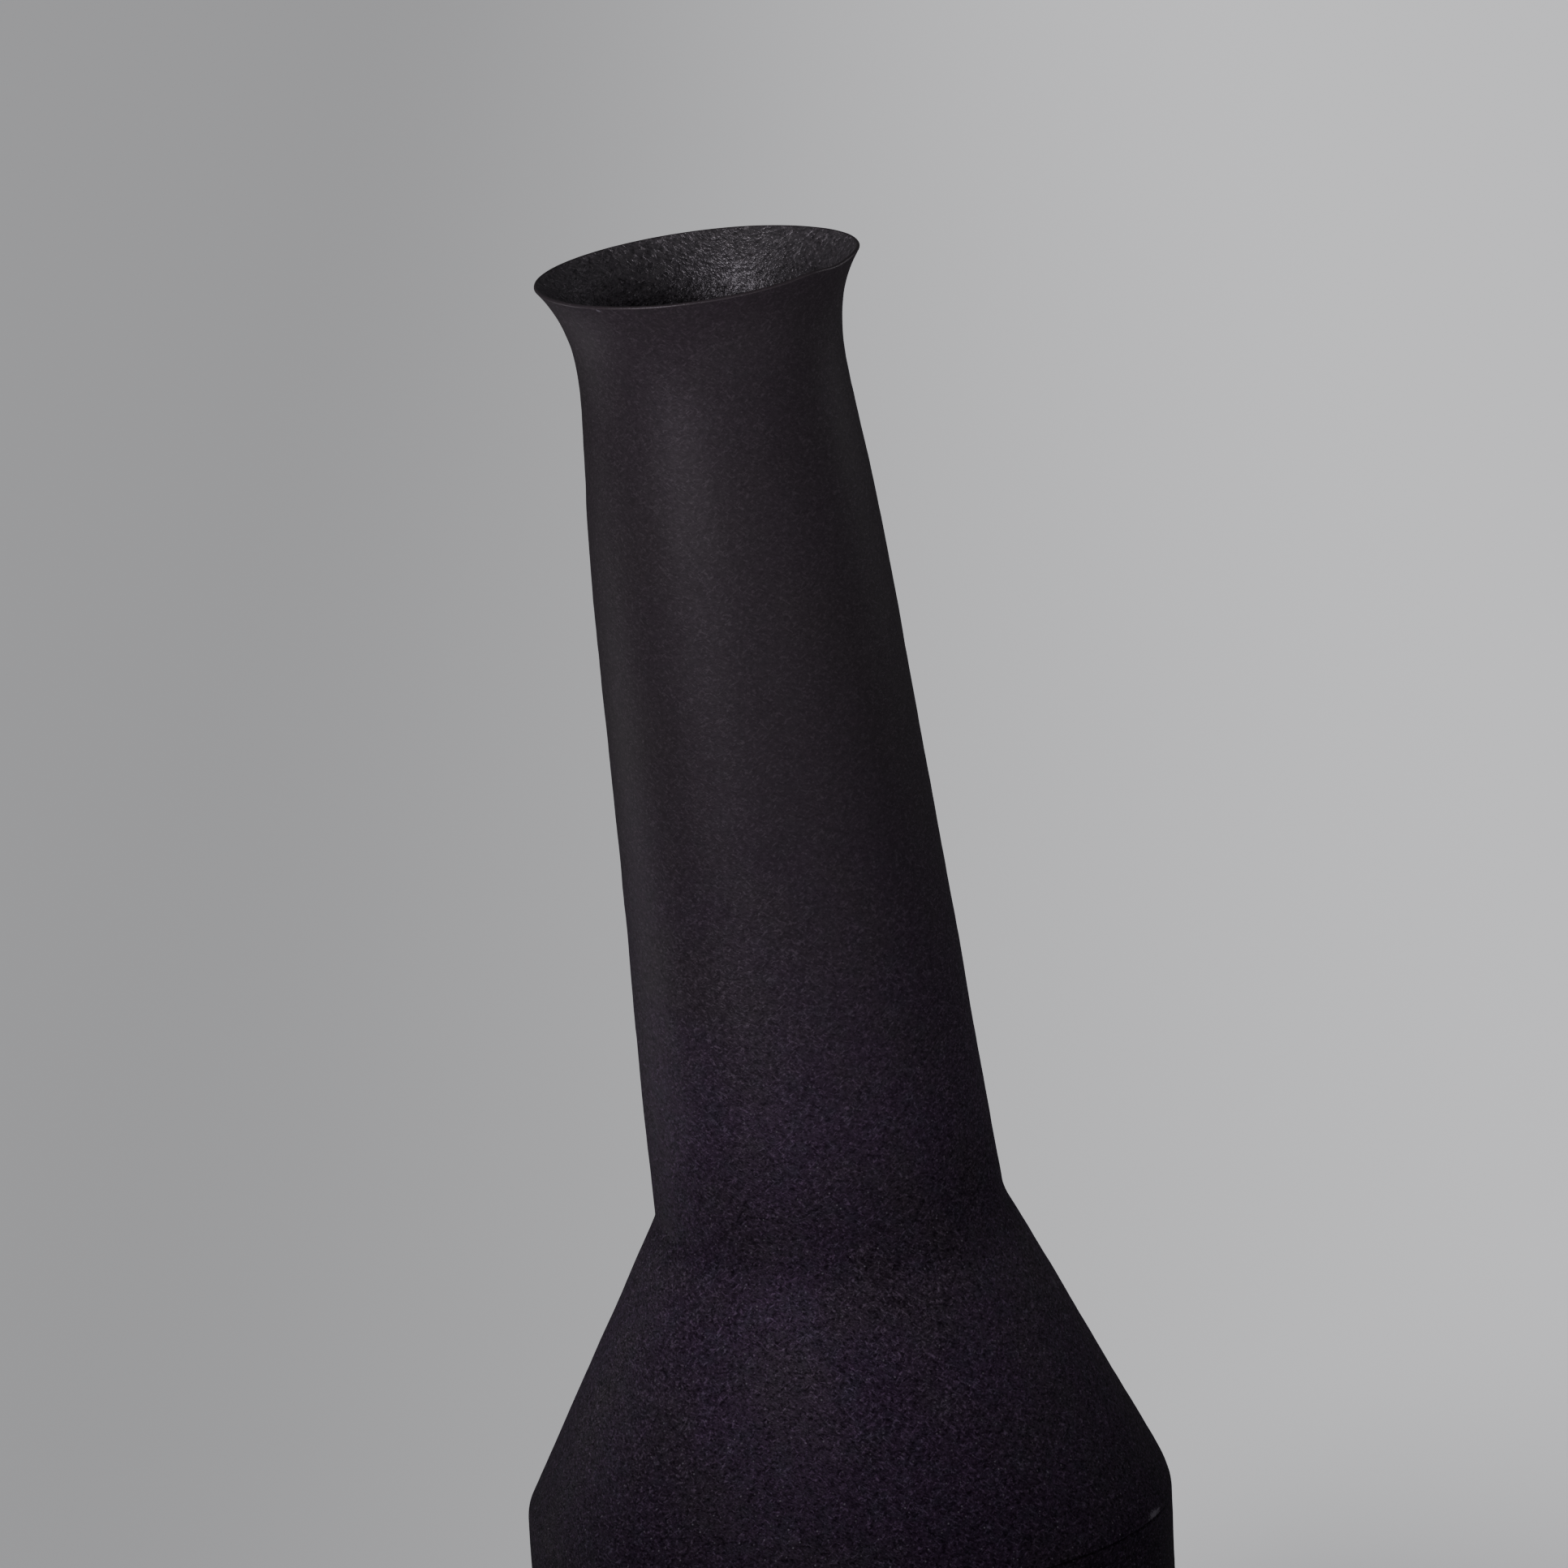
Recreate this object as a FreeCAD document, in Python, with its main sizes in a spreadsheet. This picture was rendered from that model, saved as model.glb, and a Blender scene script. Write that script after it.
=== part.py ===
"""Barro negro bottle vase: a straight-sided body, a conical shoulder and a tall neck that leans.

Units are millimetres and +Z is up.  The origin is the middle of the face that the vase rests on,
on the axis of the body.  -X is the side that the neck leans towards and -Y is the front.

The vase is one fired piece of clay, built from parts that the potter makes one by one and lutes
together with slip.  Each of those parts is a solid of its own here, and they meet face to face:

    base_slab       round floor slab
    body_wall       upright wall on the slab
    shoulder_cone   cone that closes the body down to the neck
    neck_tube       tapering tube, its foot cut on a slant so that the neck leans
    flared_lip      thin lip that opens out of the top of the neck
    floor_coil      rope of clay pressed into the inside corner of floor and wall
    shoulder_coil   the same inside the joint of wall and shoulder
    neck_coil       the same inside the joint of shoulder and neck
"""

import FreeCAD, Part
import Sketcher
import math
import os

from FreeCAD import Placement, Rotation, Vector

PARTS_FOLDER = "parts"

# Driving dimensions: alias, value (mm or degrees), what it is.
DIMENSIONS = [
    ("body_radius", 70.0, "outside radius of the upright wall"),
    ("slab_height", 8.0, "thickness of the floor slab"),
    ("foot_bevel", 1.5, "bevel round the foot"),
    ("wall_thickness", 6.0, "clay thickness of the wall and shoulder"),
    ("wall_top", 103.0, "height of the joint between wall and shoulder"),
    ("band_height", 2.0, "upright band at the foot of the shoulder"),
    ("corner_round", 7.0, "rounding where the band turns into the cone"),
    ("joint_bevel", 0.4, "bevel on each side of the open joint line"),
    ("shoulder_rise", 65.8, "height of the cone above the band"),
    ("neck_foot_radius", 37.6, "outside radius where the neck stands on the shoulder"),
    ("neck_foot_shift", 1.4, "how far that circle lies off the body axis, towards -X"),
    ("neck_foot_slant", 1.85, "slant of that circle, down towards -X"),
    ("neck_wall_foot", 5.5, "clay thickness at the foot of the neck"),
    ("neck_lean", 5.37, "lean of the neck axis from upright"),
    ("neck_heading", 198.7, "compass direction of the lean, from +X towards +Y"),
    ("neck_bend", 125.0, "distance up the neck where the taper steepens"),
    ("neck_bend_radius", 32.4, "outside radius there"),
    ("lip_joint", 172.0, "distance up the neck where the lip begins"),
    ("lip_joint_radius", 29.05, "outside radius there"),
    ("waist", 188.0, "distance up the neck of its narrowest place"),
    ("waist_radius", 28.35, "outside radius there"),
    ("mouth", 208.3, "distance up the neck of the mouth"),
    ("mouth_radius", 34.6, "outside radius of the mouth"),
    ("lip_thickness", 2.6, "clay thickness of the lip"),
    ("coil_radius", 5.0, "radius of the ropes of clay inside the joints"),
]

doc = FreeCAD.newDocument("barro_negro_vase")


# ---------------------------------------------------------------- driving dimensions

def make_sheet():
    """Put the driving dimensions into a spreadsheet, one row each: name, value, meaning."""
    table = doc.addObject("Spreadsheet::Sheet", "sizes")
    for row, (alias, value, meaning) in enumerate(DIMENSIONS, start=1):
        table.set("A%d" % row, alias)
        table.set("B%d" % row, str(value))
        table.set("C%d" % row, meaning)
        table.setAlias("B%d" % row, alias)
    doc.recompute()
    return table


sheet = make_sheet()


def size(alias):
    """Value of one driving dimension, read from the sheet."""
    return float(sheet.get(alias))


# ---------------------------------------------------------------- helpers

def new_body(name, placement=None):
    """An empty body whose Label is the name of the piece."""
    body = doc.addObject("PartDesign::Body", name)
    body.Label = name
    if placement is not None:
        body.Placement = placement
    return body


def origin_plane(body, role):
    """One of the body's own origin planes, such as XY_Plane."""
    for feature in body.Origin.OriginFeatures:
        if feature.Role == role:
            return feature
    raise ValueError("no origin plane " + role)


def new_sketch(body, name, role="XY_Plane", offset=None):
    """A sketch on one of the body's origin planes, moved by offset within that plane's frame."""
    sketch = body.newObject("Sketcher::SketchObject", name)
    sketch.AttachmentSupport = [(origin_plane(body, role), "")]
    sketch.MapMode = "FlatFace"
    if offset is not None:
        sketch.AttachmentOffset = offset
    return sketch


def add_circle(sketch, radius):
    """A circle round the sketch's origin; radius is an expression on the sheet."""
    start_radius = size("body_radius")
    edge = sketch.addGeometry(Part.Circle(Vector(), Vector(0, 0, 1), start_radius), False)
    sketch.addConstraint(Sketcher.Constraint("Coincident", edge, 3, -1, 1))
    row = sketch.addConstraint(Sketcher.Constraint("Radius", edge, start_radius))
    sketch.setExpression("Constraints[%d]" % row, radius)
    return edge


def hold_point(sketch, edge, end, across, up):
    """Tie one end of an edge to the sketch's origin by two expressions."""
    point = sketch.getPoint(edge, end)
    for kind, value, place in (("DistanceX", across, point.x), ("DistanceY", up, point.y)):
        row = sketch.addConstraint(Sketcher.Constraint(kind, -1, 1, edge, end, place))
        sketch.setExpression("Constraints[%d]" % row, value)


def hold_height(sketch, edge, end, up):
    """Tie the height of one end, or of an arc's centre, to an expression."""
    place = sketch.getPoint(edge, end).y
    row = sketch.addConstraint(Sketcher.Constraint("DistanceY", -1, 1, edge, end, place))
    sketch.setExpression("Constraints[%d]" % row, up)


def end_near(sketch, edge, other):
    """Which end of an edge, 1 or 2, touches the other edge."""
    ends = [(sketch.getPoint(edge, end).distanceToPoint(sketch.getPoint(other, other_end)), end)
            for end in (1, 2) for other_end in (1, 2)]
    return min(ends)[1]


def join_in_ring(sketch, edges, smooth=()):
    """Join each edge to the next, and the last to the first; an edge in smooth joins tangentially."""
    for edge, following in zip(edges, edges[1:] + edges[:1]):
        kind = "Tangent" if edge in smooth or following in smooth else "Coincident"
        sketch.addConstraint(Sketcher.Constraint(
            kind, edge, end_near(sketch, edge, following),
            following, end_near(sketch, following, edge)))


def add_outline(sketch, corners):
    """A closed outline of straight edges.

    Each corner is (across, up, across expression, up expression).
    """
    points = [Vector(corner[0], corner[1], 0) for corner in corners]
    ends = zip(points, points[1:] + points[:1])
    edges = [sketch.addGeometry(Part.LineSegment(*pair), False) for pair in ends]
    join_in_ring(sketch, edges)
    for edge, corner in zip(edges, corners):
        hold_point(sketch, edge, 1, corner[2], corner[3])


def turn_about_upright(body, sketch, name):
    """Revolve a sketch drawn on the XZ plane once round the body's own Z axis."""
    turned = body.newObject("PartDesign::Revolution", name)
    turned.Profile = sketch
    turned.ReferenceAxis = (sketch, ["V_Axis"])
    turned.Angle = 360.0
    doc.recompute()
    return turned


def edges_at(shape, radius, height, tolerance=0.05):
    """Names of the level, round edges of this radius at this height."""
    found = []
    for index, edge in enumerate(shape.Edges, start=1):
        box = edge.BoundBox
        level = abs(box.ZMin - height) < tolerance and abs(box.ZMax - height) < tolerance
        if level and abs(box.XLength - 2.0 * radius) < tolerance:
            found.append("Edge%d" % index)
    return found


# ---------------------------------------------------------------- places shared by the pieces

def neck_foot_placement():
    """Frame of the slanted circle that the neck stands on."""
    height = size("wall_top") + size("band_height") + size("shoulder_rise")
    slant = Rotation(Vector(0, 1, 0), -size("neck_foot_slant"))
    return Placement(Vector(-size("neck_foot_shift"), 0, height), slant)


def neck_placement():
    """Frame of the neck: same origin, +Z along the leaning axis."""
    heading = math.radians(size("neck_heading"))
    hinge = Vector(-math.sin(heading), math.cos(heading), 0)
    return Placement(neck_foot_placement().Base, Rotation(hinge, size("neck_lean")))


# ---------------------------------------------------------------- body

def make_base_slab():
    """Round floor slab with a bevelled foot."""
    body = new_body("base_slab")
    sketch = new_sketch(body, "slab_outline")
    add_circle(sketch, "sizes.body_radius")
    pad = body.newObject("PartDesign::Pad", "slab")
    pad.Profile = sketch
    pad.setExpression("Length", "sizes.slab_height")
    doc.recompute()

    bevel = body.newObject("PartDesign::Chamfer", "slab_foot_bevel")
    bevel.Base = (pad, edges_at(pad.Shape, size("body_radius"), 0.0))
    bevel.setExpression("Size", "sizes.foot_bevel")
    doc.recompute()
    return body


def make_body_wall():
    """Upright wall standing on the slab, with a bevelled top edge at the open joint."""
    slab_height = size("slab_height")
    body = new_body("body_wall", Placement(Vector(0, 0, slab_height), Rotation()))
    body.setExpression(".Placement.Base.z", "sizes.slab_height")
    sketch = new_sketch(body, "wall_ring")
    add_circle(sketch, "sizes.body_radius")
    add_circle(sketch, "sizes.body_radius - sizes.wall_thickness")
    pad = body.newObject("PartDesign::Pad", "wall")
    pad.Profile = sketch
    pad.setExpression("Length", "sizes.wall_top - sizes.slab_height")
    doc.recompute()

    bevel = body.newObject("PartDesign::Chamfer", "wall_joint_bevel")
    top = size("wall_top") - slab_height
    bevel.Base = (pad, edges_at(pad.Shape, size("body_radius"), top))
    bevel.setExpression("Size", "sizes.joint_bevel")
    doc.recompute()
    return body


# ---------------------------------------------------------------- shoulder

def make_shoulder_cone():
    """Hollow cone from the wall up to the slanted foot circle of the neck.

    Its foot is a short upright band, rounded into the cone; the open joint line is below the band.
    """
    body = new_body("shoulder_cone", Placement(Vector(0, 0, size("wall_top")), Rotation()))
    body.setExpression(".Placement.Base.z", "sizes.wall_top")

    band_sketch = new_sketch(body, "band_outline")
    add_circle(band_sketch, "sizes.body_radius")
    band = body.newObject("PartDesign::Pad", "band")
    band.Profile = band_sketch
    band.setExpression("Length", "sizes.band_height")

    foot = neck_foot_placement()
    foot.Base = foot.Base - Vector(0, 0, size("wall_top"))
    level = Placement(Vector(0, 0, size("band_height")), Rotation())

    def loft(kind, name, base_offset, base_radius, top_radius):
        """Straight-sided loft between a level circle and the slanted one."""
        lower = new_sketch(body, name + "_foot", offset=base_offset)
        add_circle(lower, base_radius)
        upper = new_sketch(body, name + "_top", offset=foot)
        add_circle(upper, top_radius)
        feature = body.newObject(kind, name)
        feature.Profile = lower
        feature.Sections = [upper]
        feature.Ruled = True
        doc.recompute()
        return feature

    cone = loft("PartDesign::AdditiveLoft", "cone", level,
                "sizes.body_radius", "sizes.neck_foot_radius")
    filled = cone.Shape.Volume
    hollow = loft("PartDesign::SubtractiveLoft", "cone_hollow", Placement(),
                  "sizes.body_radius - sizes.wall_thickness",
                  "sizes.neck_foot_radius - sizes.neck_wall_foot")
    if hollow.Shape.Volume > 0.5 * filled:
        raise RuntimeError("the shoulder was not hollowed out")

    corner = body.newObject("PartDesign::Fillet", "shoulder_corner")
    corner.Base = (hollow, edges_at(hollow.Shape, size("body_radius"), size("band_height")))
    corner.setExpression("Radius", "sizes.corner_round")
    doc.recompute()

    bevel = body.newObject("PartDesign::Chamfer", "shoulder_joint_bevel")
    bevel.Base = (corner, edges_at(corner.Shape, size("body_radius"), 0.0))
    bevel.setExpression("Size", "sizes.joint_bevel")
    doc.recompute()
    return body


# ---------------------------------------------------------------- neck and lip

def make_neck_tube():
    """Tapering tube, turned straight and then cut on a slant at its foot."""
    overlap = 8.0
    foot_slope = (size("neck_foot_radius") - size("neck_bend_radius")) / size("neck_bend")
    blank = new_body("neck_blank", neck_placement())
    sketch = new_sketch(blank, "neck_section", "XZ_Plane")
    foot, bend, joint = -overlap, size("neck_bend"), size("lip_joint")
    wall_foot, wall_top = size("neck_wall_foot"), size("lip_thickness")
    outer_foot = size("neck_foot_radius") + foot_slope * overlap
    wall_bend = 0.5 * (wall_foot + wall_top)
    taper = ("(sizes.neck_foot_radius + (sizes.neck_foot_radius - sizes.neck_bend_radius)"
             " * %g / sizes.neck_bend)" % overlap)
    bend_wall = "(sizes.neck_wall_foot + sizes.lip_thickness) / 2"
    add_outline(sketch, [
        (outer_foot - wall_foot, foot, taper + " - sizes.neck_wall_foot", "-%g" % overlap),
        (outer_foot, foot, taper, "-%g" % overlap),
        (size("neck_bend_radius"), bend, "sizes.neck_bend_radius", "sizes.neck_bend"),
        (size("lip_joint_radius"), joint, "sizes.lip_joint_radius", "sizes.lip_joint"),
        (size("lip_joint_radius") - wall_top, joint,
         "sizes.lip_joint_radius - sizes.lip_thickness", "sizes.lip_joint"),
        (size("neck_bend_radius") - wall_bend, bend,
         "sizes.neck_bend_radius - " + bend_wall, "sizes.neck_bend"),
    ])
    turn_about_upright(blank, sketch, "neck_turned")

    # Everything below the slanted foot circle is cut away.
    waste = doc.addObject("Part::Box", "slant_waste")
    width, depth = 4.0 * size("neck_foot_radius"), 3.0 * overlap
    waste.Length = waste.Width = width
    waste.Height = depth
    corner = Placement(Vector(-width / 2, -width / 2, -depth), Rotation())
    waste.Placement = neck_foot_placement().multiply(corner)

    neck = doc.addObject("Part::Cut", "neck_tube")
    neck.Base = blank
    neck.Tool = waste
    neck.Label = "neck_tube"
    doc.recompute()
    if neck.Shape.Volume > blank.Shape.Volume - 1.0:
        raise RuntimeError("the foot of the neck was not cut")
    return neck


def make_flared_lip():
    """Thin lip: drawn in to the waist on one long arc, then opened to the mouth on a shorter one.

    The two outside arcs meet at the waist, where both run straight up the neck, so both centres
    lie level with it.  The inside follows one lip thickness away, and the rim is a half round.
    """
    joint, waist, mouth = size("lip_joint"), size("waist"), size("mouth")
    thickness = size("lip_thickness")
    rim_round = thickness / 2.0

    def arc_radius(rise, spread):
        """Radius of an arc that starts straight up and moves outwards by spread over rise."""
        return (rise ** 2 + spread ** 2) / (2.0 * spread)

    lower_round = arc_radius(waist - joint, size("lip_joint_radius") - size("waist_radius"))
    # The flare ends where the half round of the rim takes over, at the mouth's full radius.
    upper_round = arc_radius(mouth - rim_round - waist, size("mouth_radius") - size("waist_radius"))
    outer_lower_turn = -math.asin((waist - joint) / lower_round)
    inner_lower_turn = -math.asin((waist - joint) / (lower_round + thickness))
    upper_turn = math.asin((mouth - rim_round - waist) / upper_round)

    def on_arc(radius, turn, inset):
        """Point on an arc about a centre level with the waist, moved in by inset."""
        centre = size("waist_radius") + radius
        reach = radius + inset
        return Vector(centre - reach * math.cos(turn), waist + reach * math.sin(turn), 0)

    def wall_arc(radius, turn, inset):
        """The stretch of wall from the waist round to turn."""
        return Part.Arc(on_arc(radius, 0.0, inset),
                        on_arc(radius, turn / 2.0, inset),
                        on_arc(radius, turn, inset))

    outer_rim = on_arc(upper_round, upper_turn, 0.0)
    inner_rim = on_arc(upper_round, upper_turn, thickness)
    along = Vector(math.sin(upper_turn), math.cos(upper_turn), 0)
    crown = (outer_rim + inner_rim) * 0.5 + along * rim_round

    body = new_body("flared_lip", neck_placement())
    sketch = new_sketch(body, "lip_section", "XZ_Plane")
    outline = [
        wall_arc(lower_round, outer_lower_turn, 0.0),
        wall_arc(upper_round, upper_turn, 0.0),
        Part.Arc(outer_rim, crown, inner_rim),
        wall_arc(upper_round, upper_turn, thickness),
        wall_arc(lower_round, inner_lower_turn, thickness),
        Part.LineSegment(on_arc(lower_round, inner_lower_turn, thickness),
                         on_arc(lower_round, outer_lower_turn, 0.0)),
    ]
    edges = [sketch.addGeometry(edge, False) for edge in outline]
    outer_low, outer_high, rim, inner_high, inner_low, foot = edges
    join_in_ring(sketch, edges, smooth=(rim,))

    centre = 3
    inside_waist = "sizes.waist_radius - sizes.lip_thickness"
    hold_point(sketch, foot, end_near(sketch, foot, outer_low),
               "sizes.lip_joint_radius", "sizes.lip_joint")
    hold_height(sketch, foot, end_near(sketch, foot, inner_low), "sizes.lip_joint")
    hold_point(sketch, outer_low, end_near(sketch, outer_low, outer_high),
               "sizes.waist_radius", "sizes.waist")
    hold_point(sketch, inner_low, end_near(sketch, inner_low, inner_high),
               inside_waist, "sizes.waist")
    hold_point(sketch, outer_high, end_near(sketch, outer_high, rim),
               "sizes.mouth_radius", "sizes.mouth - sizes.lip_thickness / 2")
    hold_height(sketch, outer_low, centre, "sizes.waist")
    hold_height(sketch, outer_high, centre, "sizes.waist")
    for inner, outer in ((inner_low, outer_low), (inner_high, outer_high)):
        sketch.addConstraint(Sketcher.Constraint("Coincident", inner, centre, outer, centre))
    turn_about_upright(body, sketch, "lip_turned")
    return body


# ---------------------------------------------------------------- coils inside the joints

def make_coil(name, ring_radius, placement, pressed_against):
    """Rope of clay laid round an inside joint; the pieces it is pressed against are cut from it."""
    rope = doc.addObject("Part::Torus", name + "_rope")
    rope.setExpression("Radius1", ring_radius)
    rope.setExpression("Radius2", "sizes.coil_radius")
    rope.Placement = placement
    walls = doc.addObject("Part::MultiFuse", name + "_seat")
    walls.Shapes = pressed_against
    coil = doc.addObject("Part::Cut", name)
    coil.Base = rope
    coil.Tool = walls
    coil.Label = name
    doc.recompute()
    return coil


# ---------------------------------------------------------------- assembly

base_slab = make_base_slab()
body_wall = make_body_wall()
shoulder_cone = make_shoulder_cone()
neck_tube = make_neck_tube()
flared_lip = make_flared_lip()

inner_wall = "sizes.body_radius - sizes.wall_thickness"
inner_neck = "sizes.neck_foot_radius - sizes.neck_wall_foot"
floor_level = Placement(Vector(0, 0, size("slab_height")), Rotation())
joint_level = Placement(Vector(0, 0, size("wall_top")), Rotation())
floor_coil = make_coil("floor_coil", inner_wall, floor_level, [base_slab, body_wall])
shoulder_coil = make_coil("shoulder_coil", inner_wall, joint_level, [body_wall, shoulder_cone])
neck_coil = make_coil("neck_coil", inner_neck, neck_foot_placement(), [shoulder_cone, neck_tube])

pieces = [base_slab, body_wall, shoulder_cone, neck_tube, flared_lip,
          floor_coil, shoulder_coil, neck_coil]

doc.recompute()


# ---------------------------------------------------------------- checks and export

for item in doc.Objects:
    if "Invalid" in item.State or "Error" in item.State:
        raise RuntimeError("%s did not compute: %s" % (item.Label, item.State))

os.makedirs(PARTS_FOLDER, exist_ok=True)
for piece in pieces:
    shape = piece.Shape
    if shape.isNull() or not shape.isValid():
        raise RuntimeError(piece.Label + " has no valid shape")
    if len(shape.Solids) != 1:
        raise RuntimeError("%s is %d solids" % (piece.Label, len(shape.Solids)))
    shape.exportStep(os.path.join(PARTS_FOLDER, piece.Label + ".step"))
    print("%-14s %9.0f mm3" % (piece.Label, shape.Volume))
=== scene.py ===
"""Looks of the barro negro bottle vase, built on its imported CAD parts.

Sizes are worked in millimetres in the frame of the CAD: +Z up, origin in the middle of the resting
face, -X the side that the neck leans towards, -Y the front.  Meshes are written in metres.
"""
import math

import bpy
import numpy as np
from mathutils import Matrix, Vector


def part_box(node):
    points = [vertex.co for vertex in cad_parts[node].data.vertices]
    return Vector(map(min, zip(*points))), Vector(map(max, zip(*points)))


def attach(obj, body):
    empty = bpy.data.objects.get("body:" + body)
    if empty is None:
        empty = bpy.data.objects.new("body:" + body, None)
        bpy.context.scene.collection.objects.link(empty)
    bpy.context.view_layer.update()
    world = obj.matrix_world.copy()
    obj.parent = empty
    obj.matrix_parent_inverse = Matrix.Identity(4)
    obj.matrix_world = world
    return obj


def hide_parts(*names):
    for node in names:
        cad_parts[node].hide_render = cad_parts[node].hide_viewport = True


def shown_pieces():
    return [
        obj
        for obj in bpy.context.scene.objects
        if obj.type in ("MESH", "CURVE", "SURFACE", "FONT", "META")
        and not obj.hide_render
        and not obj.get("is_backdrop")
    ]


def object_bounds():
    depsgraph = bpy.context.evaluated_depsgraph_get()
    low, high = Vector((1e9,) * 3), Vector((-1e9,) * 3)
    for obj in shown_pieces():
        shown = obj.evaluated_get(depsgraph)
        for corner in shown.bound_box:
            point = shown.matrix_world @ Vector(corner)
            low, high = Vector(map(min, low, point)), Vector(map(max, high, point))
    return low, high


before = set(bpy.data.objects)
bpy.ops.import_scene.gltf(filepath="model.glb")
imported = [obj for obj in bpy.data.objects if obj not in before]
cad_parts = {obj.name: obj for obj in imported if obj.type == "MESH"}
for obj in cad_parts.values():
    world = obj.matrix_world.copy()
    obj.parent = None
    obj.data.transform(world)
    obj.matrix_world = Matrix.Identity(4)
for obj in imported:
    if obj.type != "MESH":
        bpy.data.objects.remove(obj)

cad_low, cad_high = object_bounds()

MM = 0.001

# ---------------------------------------------------------------- sizes taken from the CAD parts


def node_box(name):
    """Lowest and highest corner of a CAD part, in millimetres."""
    low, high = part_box(name)
    return np.array(low) / MM, np.array(high) / MM


wall_low, wall_high = node_box("body_wall")

BODY_RADIUS = (wall_high[0] - wall_low[0]) / 2.0
SLAB_TOP = node_box("base_slab")[1][2]
WALL_TOP = wall_high[2]
SHOULDER_TOP = node_box("shoulder_cone")[1][2]

# ---------------------------------------------------------------- the potter's measures, mm and degrees

WALL_THICKNESS = 6.0       # clay of the wall and shoulder
FOOT_BEVEL = 1.5           # bevel round the foot
BAND_HEIGHT = 2.0          # upright band at the foot of the shoulder
EDGE_ROUND = 0.6           # rounding of the foot's bevel

NECK_FOOT_RADIUS = 37.62   # where the neck stands on the shoulder
NECK_FOOT_SHIFT = -1.4     # that circle's place along X
NECK_FOOT_SLANT = 1.85     # its slant, down towards -X
NECK_FOOT_WALL = 5.5       # clay thickness there
NECK_LEAN = 5.37           # lean of the neck from upright
NECK_HEADING = 198.7       # compass direction of the lean, from +X towards +Y

NECK_LENGTH = 208.3        # up the neck's axis, from its foot to the mouth
NECK_TAPER = 0.0416        # radius lost per millimetre of neck
DRAW_IN_START = 125.0      # from here the neck draws in faster
DRAW_IN = 0.0006
FLARE_START = 165.0        # from here the lip opens
FLARE_SPREAD = 9.75
LIP_JOINT = 172.0          # where the lip was added to the neck
LIP_JOINT_WALL = 2.9       # clay thickness there
LIP_THINNING = 10.0        # the last stretch of the lip, pinched thin between finger and thumb
LIP_WALL = 2.2             # clay thickness where that stretch starts
LIP_THICKNESS = 0.8        # clay thickness at the very edge

AROUND = 480               # points round every ring of clay

SLANT_RISE = NECK_FOOT_RADIUS * math.sin(math.radians(NECK_FOOT_SLANT))
NECK_FOOT = np.array([NECK_FOOT_SHIFT, 0.0, SHOULDER_TOP - SLANT_RISE])


# ---------------------------------------------------------------- rings of clay


turn = np.linspace(0.0, 2.0 * np.pi, AROUND, endpoint=False)
cos_turn, sin_turn = np.cos(turn), np.sin(turn)


def unit(vectors):
    """Vectors scaled to length one."""
    return vectors / np.linalg.norm(vectors, axis=-1, keepdims=True)


def tilted_axes(angle, hinge):
    """The X, Y and Z directions after a tilt of angle degrees about a level hinge."""
    return np.array(Matrix.Rotation(math.radians(angle), 3, Vector(hinge))).T


lean_heading = math.radians(NECK_HEADING)
LEVEL = np.eye(3)
SLANTED = tilted_axes(-NECK_FOOT_SLANT, (0.0, 1.0, 0.0))
LEANING = tilted_axes(NECK_LEAN, (-math.sin(lean_heading), math.cos(lean_heading), 0.0))


def spokes(axes):
    """Directions from a ring's middle out to each of its points."""
    return np.outer(cos_turn, axes[0]) + np.outer(sin_turn, axes[1])


def level_ring(radius, height):
    """Ring about the body's axis; radius and height are numbers or one value for each point."""
    radius = np.broadcast_to(radius, turn.shape)
    ring = radius[:, None] * spokes(LEVEL)
    ring[:, 2] += height
    return ring


def neck_radius(along):
    """Outside radius of the neck and lip, at a distance up the neck."""
    drawn = np.maximum(along - DRAW_IN_START, 0.0)
    opened = np.maximum(along - FLARE_START, 0.0) / (NECK_LENGTH - FLARE_START)
    return NECK_FOOT_RADIUS - NECK_TAPER * along - DRAW_IN * drawn ** 2 + FLARE_SPREAD * opened ** 4


def neck_slope(along):
    """Change of that radius for each millimetre up the neck."""
    step = 0.01
    return (neck_radius(along + step) - neck_radius(along - step)) / (2.0 * step)


def neck_wall(along):
    """Clay thickness, thinning from the neck's foot to the lip."""
    return np.interp(along, [0.0, LIP_JOINT, NECK_LENGTH - LIP_THINNING, NECK_LENGTH],
                     [NECK_FOOT_WALL, LIP_JOINT_WALL, LIP_WALL, LIP_THICKNESS])


def neck_ring(along, depth=0.0):
    """Ring round the neck, depth millimetres inside the outer surface, measured square to it."""
    along = np.broadcast_to(np.asarray(along, float), turn.shape)
    slope = np.arctan(neck_slope(along))
    radius = neck_radius(along) - depth * np.cos(slope)
    height = along + depth * np.sin(slope)
    return NECK_FOOT + radius[:, None] * spokes(LEANING) + height[:, None] * LEANING[2]


def foot_along(depth):
    """How far up the neck each of its lines leaves the slanted foot circle."""
    radius = NECK_FOOT_RADIUS - depth
    facing = spokes(LEANING) @ SLANTED[2]
    return -radius * facing / (LEANING[2] @ SLANTED[2] - NECK_TAPER * facing)


def straight(first, last, count, from_start=True):
    """Rings evenly spaced from first to last, without last, and without first if told so."""
    shares = np.arange(0 if from_start else 1, count) / count
    return [first + (last - first) * share for share in shares]


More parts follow.
